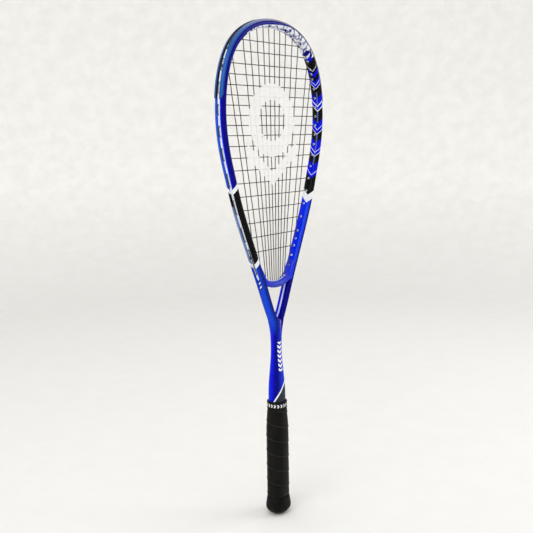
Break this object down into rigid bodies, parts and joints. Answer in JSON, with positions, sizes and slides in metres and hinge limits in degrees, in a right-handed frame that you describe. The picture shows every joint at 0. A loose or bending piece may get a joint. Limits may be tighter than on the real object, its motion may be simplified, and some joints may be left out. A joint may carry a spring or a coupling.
{
  "type": "squash racket",
  "caption": "Strung squash racket with a teardrop head, open throat, slim shaft, spiral-wrapped handle and a rubber ring at the top of the grip.",
  "frame": {"origin": "centre of the butt's flat bottom face, on the racket's long axis", "axes": "+Z from the butt up to the tip of the head, X across the head in the plane of the strings, +Y out of the back of the strings, so the front looks along -Y"},
  "size_m": [0.2146, 0.0328, 0.6859],
  "materials": {
    "frame": "glossy painted graphite, blue with navy, black and white bands",
    "throat_bridge": "glossy painted graphite",
    "bumper_guard": "satin moulded nylon, light blue fading to grey",
    "grommet_strip_head": "white moulded nylon",
    "grommet_strip_left": "white moulded nylon",
    "grommet_strip_right": "white moulded nylon",
    "grommet_strip_throat": "white moulded nylon",
    "main_string": "black synthetic string, satin",
    "cross_string": "black synthetic string, satin",
    "handle_pallet_front": "rigid foam, dull",
    "handle_pallet_back": "rigid foam, dull",
    "butt_cap": "black soft rubber, dull",
    "grip_tape": "black synthetic leather tape, satin",
    "finishing_tape": "black adhesive tape, satin",
    "grip_collar": "black rubber ring, satin"
  },
  "bodies": {
    "racket": {"frame": "frame", "throat_bridge": "throat_bridge", "bumper_guard": "bumper_guard", "grommet_strip_head": "grommet_strip_head", "grommet_strip_left": "grommet_strip_left", "grommet_strip_right": "grommet_strip_right", "grommet_strip_throat": "grommet_strip_throat", "main_string": "main_string", "cross_string": "cross_string", "handle_pallet_front": "handle_pallet_front", "handle_pallet_back": "handle_pallet_back", "butt_cap": "butt_cap", "grip_tape": "grip_tape", "finishing_tape": "finishing_tape"},
    "collar": {"grip_collar": "grip_collar"}
  },
  "joints": [
    {"name": "collar_slide", "type": "slide", "parent": "racket", "child": "collar", "axis": [0, 0, 1], "range_m": [0, 0.045]}
  ]
}
